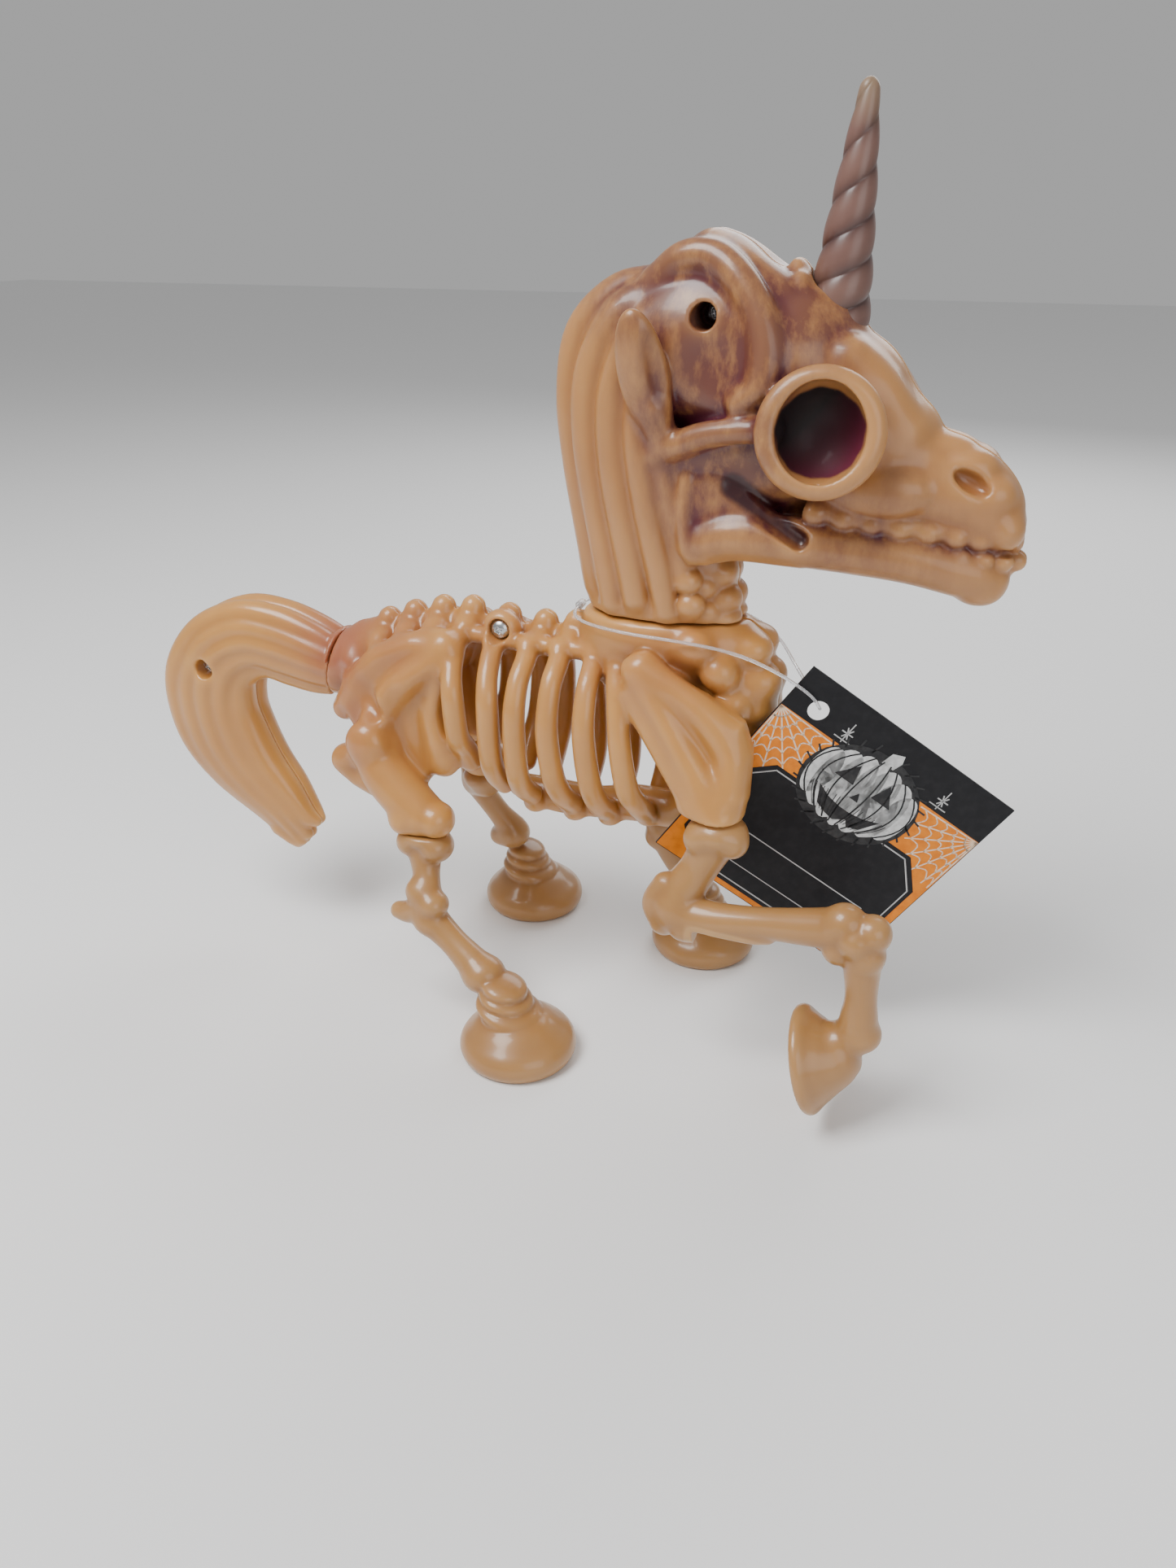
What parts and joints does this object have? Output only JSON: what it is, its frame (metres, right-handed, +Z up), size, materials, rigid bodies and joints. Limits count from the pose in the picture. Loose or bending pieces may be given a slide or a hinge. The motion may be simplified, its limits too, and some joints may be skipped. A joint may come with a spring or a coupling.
{
  "type": "skeleton unicorn figure",
  "caption": "Free-standing moulded skeleton unicorn on three hooves, with one foreleg raised, a turning head and tail, a plugged-in horn and a hang tag.",
  "frame": {"origin": "on the standing surface, under the middle of the figure's length and width, without the hang tag and its loop", "axes": "+X towards the head, -Y is the figure's right side, +Z up"},
  "size_m": [0.2431, 0.104, 0.2274],
  "materials": {
    "bone_plastic": "glossy warm bone-coloured soft plastic with a purple-brown wash in the hollows of the head",
    "horn_plastic": "satin grey-purple paint over plastic",
    "screw_steel": "bright zinc-plated steel",
    "tag_card": null,
    "loop_nylon": "clear nylon"
  },
  "bodies": {
    "trunk": {"trunk_right_half": "bone_plastic", "trunk_left_half": "bone_plastic", "trunk_screw": "screw_steel", "hind_leg_right": "bone_plastic", "hind_leg_left": "bone_plastic", "foreleg_right": "bone_plastic", "foreleg_left": "bone_plastic", "neck_peg": "bone_plastic", "tail_peg": "bone_plastic", "hang_tag": "tag_card", "tag_loop": "loop_nylon", "loop_lock": "loop_nylon"},
    "head": {"head_right_half": "bone_plastic", "head_left_half": "bone_plastic", "head_screw": "screw_steel", "horn": "horn_plastic"},
    "tail": {"tail_right_half": "bone_plastic", "tail_left_half": "bone_plastic", "tail_screw": "screw_steel"}
  },
  "joints": [
    {"name": "neck_turn", "type": "hinge", "parent": "trunk", "child": "head", "pos_m": [0.037, 0, 0.1155], "axis": [0, 0, 1], "range_deg": [-60, 60]},
    {"name": "tail_turn", "type": "hinge", "parent": "trunk", "child": "tail", "pos_m": [-0.0555, 0, 0.0905], "axis": [-0.9781, 0, 0.2079], "range_deg": [-90, 90]}
  ]
}
